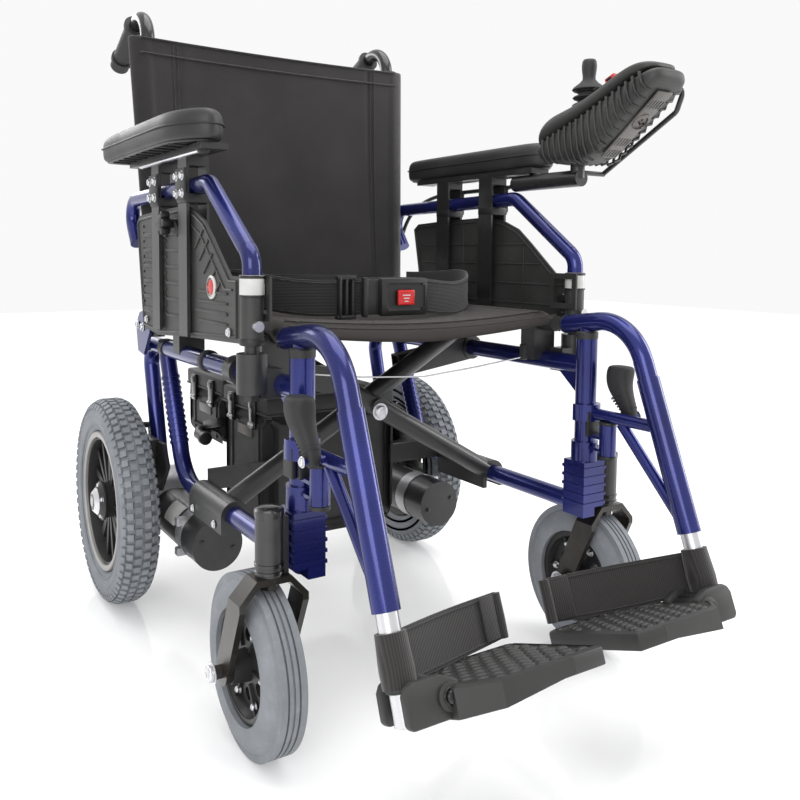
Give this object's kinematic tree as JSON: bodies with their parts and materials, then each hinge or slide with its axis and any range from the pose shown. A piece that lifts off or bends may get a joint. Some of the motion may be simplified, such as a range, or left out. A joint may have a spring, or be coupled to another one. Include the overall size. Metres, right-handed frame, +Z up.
{
  "type": "folding power wheelchair",
  "caption": "Folding power wheelchair with cross-braced tube frame, swing-away legrests, lift-out armrests, joystick control, drive units, casters and battery boxes",
  "frame": {"origin": "on the floor, under the middle of the box round the open chair", "axes": "+Z up, the person faces -Y, +X is the side of the joystick, at the person's left"},
  "size_m": [0.624, 0.9637, 0.9353],
  "materials": {
    "frame_paint": "glossy metallic blue enamel",
    "fitting_plastic": "black moulded fittings",
    "fork_paint": "bronze-black enamel",
    "rim_plastic": "black moulded wheel",
    "tyre": "grey non-marking tyre",
    "cast_alloy": "cast and turned",
    "motor_paint": "satin black",
    "grip_plastic": "fine grained",
    "bright_tube": "polished",
    "tread_plastic": "ribbed tread",
    "webbing": "woven",
    "panel_plastic": "textured dark grey",
    "pad_skin": "self-skinned foam",
    "cane_paint": "gloss black",
    "brace_paint": "satin black",
    "upholstery": "coarse woven",
    "battery_plastic": "textured housing",
    "red_plastic": "moulded",
    "boot_rubber": "soft bellows",
    "cable_jacket": "smooth jacket"
  },
  "bodies": {
    "right_frame": {"side_frame_right": "frame_paint", "frame_fittings_right": "fitting_plastic", "gearbox_right": "cast_alloy", "motor_right": "motor_paint", "back_cane_right": "cane_paint", "push_grip_right": "grip_plastic", "back_sling": "upholstery"},
    "caster_swivel_right": {"caster_fork_right": "fork_paint"},
    "caster_wheel_right": {"caster_rim_right": "rim_plastic", "caster_tyre_right": "tyre"},
    "drive_wheel_right": {"drive_rim_right": "rim_plastic", "drive_tyre_right": "tyre"},
    "release_right": {"release_lever_right": "fitting_plastic"},
    "legrest_right": {"hanger_right": "frame_paint"},
    "latch_right": {"hanger_lever_right": "grip_plastic"},
    "footrest_right": {"footrest_tube_right": "bright_tube", "heel_strap_right": "webbing"},
    "plate_right": {"footplate_right": "tread_plastic"},
    "armrest_right": {"armrest_tube_right": "frame_paint", "side_panel_right": "panel_plastic"},
    "pad_right": {"pad_posts_right": "fitting_plastic", "arm_pad_right": "pad_skin"},
    "armrest_button_right": {"arm_button_right": "bright_tube"},
    "brace_right": {"brace_arm_right": "brace_paint"},
    "link_right": {"brace_link_right": "brace_paint"},
    "left_frame": {"side_frame_left": "frame_paint", "frame_fittings_left": "fitting_plastic", "gearbox_left": "cast_alloy", "motor_left": "motor_paint", "back_cane_left": "cane_paint", "push_grip_left": "grip_plastic", "control_cable": "cable_jacket"},
    "caster_swivel_left": {"caster_fork_left": "fork_paint"},
    "caster_wheel_left": {"caster_rim_left": "rim_plastic", "caster_tyre_left": "tyre"},
    "drive_wheel_left": {"drive_rim_left": "rim_plastic", "drive_tyre_left": "tyre"},
    "release_left": {"release_lever_left": "fitting_plastic"},
    "legrest_left": {"hanger_left": "frame_paint"},
    "latch_left": {"hanger_lever_left": "grip_plastic"},
    "footrest_left": {"footrest_tube_left": "bright_tube", "heel_strap_left": "webbing"},
    "plate_left": {"footplate_left": "tread_plastic"},
    "armrest_left": {"armrest_tube_left": "frame_paint", "side_panel_left": "panel_plastic"},
    "pad_left": {"pad_posts_left": "fitting_plastic", "arm_pad_left": "pad_skin"},
    "armrest_button_left": {"arm_button_left": "bright_tube"},
    "brace_left": {"brace_arm_left": "brace_paint"},
    "link_left": {"brace_link_left": "brace_paint"},
    "seat": {"seat_sling": "upholstery", "lap_belt": "webbing"},
    "belt_release": {"belt_button": "red_plastic"},
    "batteries": {"battery_front": "battery_plastic", "battery_rear": "battery_plastic"},
    "controller": {"controller_case": "panel_plastic", "controller_arm": "fitting_plastic"},
    "power_button": {"power_key": "red_plastic"},
    "stick_gimbal": {"joystick_boot": "boot_rubber"},
    "stick": {"joystick": "grip_plastic"}
  },
  "joints": [
    {"name": "fold", "type": "slide", "parent": "right_frame", "child": "left_frame", "axis": [-1, 0, 0], "range_m": [0, 0.2], "deforming": ["back_sling", "seat_sling", "lap_belt"]},
    {"name": "caster_swivel_right", "type": "hinge", "parent": "right_frame", "child": "caster_swivel_right", "pos_m": [-0.253, -0.21815, 0.24], "axis": [0, 0, 1], "continuous": true},
    {"name": "caster_spin_right", "type": "hinge", "parent": "caster_swivel_right", "child": "caster_wheel_right", "pos_m": [-0.253, -0.18115, 0.1], "axis": [1, 0, 0], "continuous": true},
    {"name": "drive_spin_right", "type": "hinge", "parent": "right_frame", "child": "drive_wheel_right", "pos_m": [-0.276, 0.32185, 0.16], "axis": [1, 0, 0], "continuous": true},
    {"name": "freewheel_lever_right", "type": "hinge", "parent": "right_frame", "child": "release_right", "pos_m": [-0.205, 0.35285, 0.198], "axis": [-1, 0, 0], "range_deg": [0, 60]},
    {"name": "legrest_swing_right", "type": "hinge", "parent": "right_frame", "child": "legrest_right", "pos_m": [-0.213, -0.21615, 0.45], "axis": [0, 0, -1], "range_deg": [0, 90]},
    {"name": "legrest_latch_right", "type": "hinge", "parent": "legrest_right", "child": "latch_right", "pos_m": [-0.232, -0.27815, 0.345], "axis": [1, 0, 0], "range_deg": [0, 20], "stiffness_Nm_per_rad": 1},
    {"name": "footrest_height_right", "type": "slide", "parent": "legrest_right", "child": "footrest_right", "axis": [0, 0.3616, 0.9323], "range_m": [-0.055, 0.015]},
    {"name": "footplate_flip_right", "type": "hinge", "parent": "footrest_right", "child": "plate_right", "pos_m": [-0.18, -0.41708, 0.15141], "axis": [0, -0.9323, 0.3616], "range_deg": [0, 88.1], "deforming": ["heel_strap_right"]},
    {"name": "armrest_lift_right", "type": "slide", "parent": "right_frame", "child": "armrest_right", "axis": [0, 0, 1], "range_m": [0, 0.07]},
    {"name": "pad_height_right", "type": "slide", "parent": "armrest_right", "child": "pad_right", "axis": [0, 0, 1], "range_m": [0, 0.04]},
    {"name": "armrest_button_right", "type": "slide", "parent": "armrest_right", "child": "armrest_button_right", "axis": [0, 1, 0], "range_m": [0, 0.003], "stiffness_N_per_m": 400},
    {"name": "brace_turn_right", "type": "hinge", "parent": "right_frame", "child": "brace_right", "pos_m": [-0.213, 0.04585, 0.216], "axis": [0, -1, 0], "range_deg": [0, 33.1]},
    {"name": "link_turn_right", "type": "hinge", "parent": "right_frame", "child": "link_right", "pos_m": [-0.213, 0.04585, 0.406], "axis": [0, -1, 0], "range_deg": [0, 65.6]},
    {"name": "caster_swivel_left", "type": "hinge", "parent": "left_frame", "child": "caster_swivel_left", "pos_m": [0.253, -0.21815, 0.24], "axis": [0, 0, 1], "continuous": true},
    {"name": "caster_spin_left", "type": "hinge", "parent": "caster_swivel_left", "child": "caster_wheel_left", "pos_m": [0.253, -0.18115, 0.1], "axis": [1, 0, 0], "continuous": true},
    {"name": "drive_spin_left", "type": "hinge", "parent": "left_frame", "child": "drive_wheel_left", "pos_m": [0.276, 0.32185, 0.16], "axis": [1, 0, 0], "continuous": true},
    {"name": "freewheel_lever_left", "type": "hinge", "parent": "left_frame", "child": "release_left", "pos_m": [0.205, 0.35285, 0.198], "axis": [-1, 0, 0], "range_deg": [0, 60]},
    {"name": "legrest_swing_left", "type": "hinge", "parent": "left_frame", "child": "legrest_left", "pos_m": [0.213, -0.21615, 0.45], "axis": [0, 0, 1], "range_deg": [0, 90]},
    {"name": "legrest_latch_left", "type": "hinge", "parent": "legrest_left", "child": "latch_left", "pos_m": [0.232, -0.27815, 0.345], "axis": [1, 0, 0], "range_deg": [0, 20], "stiffness_Nm_per_rad": 1},
    {"name": "footrest_height_left", "type": "slide", "parent": "legrest_left", "child": "footrest_left", "axis": [0, 0.3616, 0.9323], "range_m": [-0.055, 0.015]},
    {"name": "footplate_flip_left", "type": "hinge", "parent": "footrest_left", "child": "plate_left", "pos_m": [0.18, -0.41708, 0.15141], "axis": [0, 0.9323, -0.3616], "range_deg": [0, 88.1], "deforming": ["heel_strap_left"]},
    {"name": "armrest_lift_left", "type": "slide", "parent": "left_frame", "child": "armrest_left", "axis": [0, 0, 1], "range_m": [0, 0.07], "deforming": ["control_cable"]},
    {"name": "pad_height_left", "type": "slide", "parent": "armrest_left", "child": "pad_left", "axis": [0, 0, 1], "range_m": [0, 0.04], "deforming": ["control_cable"]},
    {"name": "armrest_button_left", "type": "slide", "parent": "armrest_left", "child": "armrest_button_left", "axis": [0, 1, 0], "range_m": [0, 0.003], "stiffness_N_per_m": 400},
    {"name": "brace_turn_left", "type": "hinge", "parent": "left_frame", "child": "brace_left", "pos_m": [0.213, 0.04585, 0.216], "axis": [0, 1, 0], "range_deg": [0, 33.1]},
    {"name": "link_turn_left", "type": "hinge", "parent": "left_frame", "child": "link_left", "pos_m": [0.213, 0.04585, 0.406], "axis": [0, 1, 0], "range_deg": [0, 65.6]},
    {"name": "seat_rise", "type": "slide", "parent": "right_frame", "child": "seat", "axis": [-0.4677, 0, 0.8839], "range_m": [0, 0.214]},
    {"name": "battery_slide", "type": "slide", "parent": "right_frame", "child": "batteries", "axis": [-0.2216, 0.9751, 0], "range_m": [0, 0.4515]},
    {"name": "belt_release", "type": "slide", "parent": "seat", "child": "belt_release", "axis": [0, 1, 0], "range_m": [0, 0.0015], "stiffness_N_per_m": 400},
    {"name": "controller_reach", "type": "slide", "parent": "pad_left", "child": "controller", "axis": [0, -1, 0], "range_m": [0, 0.05], "deforming": ["control_cable"]},
    {"name": "power_button", "type": "slide", "parent": "controller", "child": "power_button", "axis": [0, -0.3746, -0.9272], "range_m": [0, 0.002], "stiffness_N_per_m": 400},
    {"name": "joystick_fore_aft", "type": "hinge", "parent": "controller", "child": "stick_gimbal", "pos_m": [0.25, -0.17215, 0.752], "axis": [1, 0, 0], "range_deg": [-18, 18], "stiffness_Nm_per_rad": 0.4},
    {"name": "joystick_side", "type": "hinge", "parent": "stick_gimbal", "child": "stick", "pos_m": [0.25, -0.17215, 0.752], "axis": [0, 1, 0], "range_deg": [-18, 18], "stiffness_Nm_per_rad": 0.4, "deforming": ["joystick_boot"]}
  ],
  "couplings": [
    {"joint": "seat_rise", "follows": "fold", "ratio": 1.0691},
    {"joint": "battery_slide", "follows": "fold", "ratio": 2.2561},
    {"joint": "brace_turn_right", "follows": "fold", "rad_per_m": 2.8798},
    {"joint": "link_turn_right", "follows": "fold", "rad_per_m": 5.7072},
    {"joint": "footplate_flip_right", "follows": "fold", "rad_per_m": 7.6795},
    {"joint": "brace_turn_left", "follows": "fold", "rad_per_m": 2.8798},
    {"joint": "link_turn_left", "follows": "fold", "rad_per_m": 5.7072},
    {"joint": "footplate_flip_left", "follows": "fold", "rad_per_m": 7.6795}
  ]
}
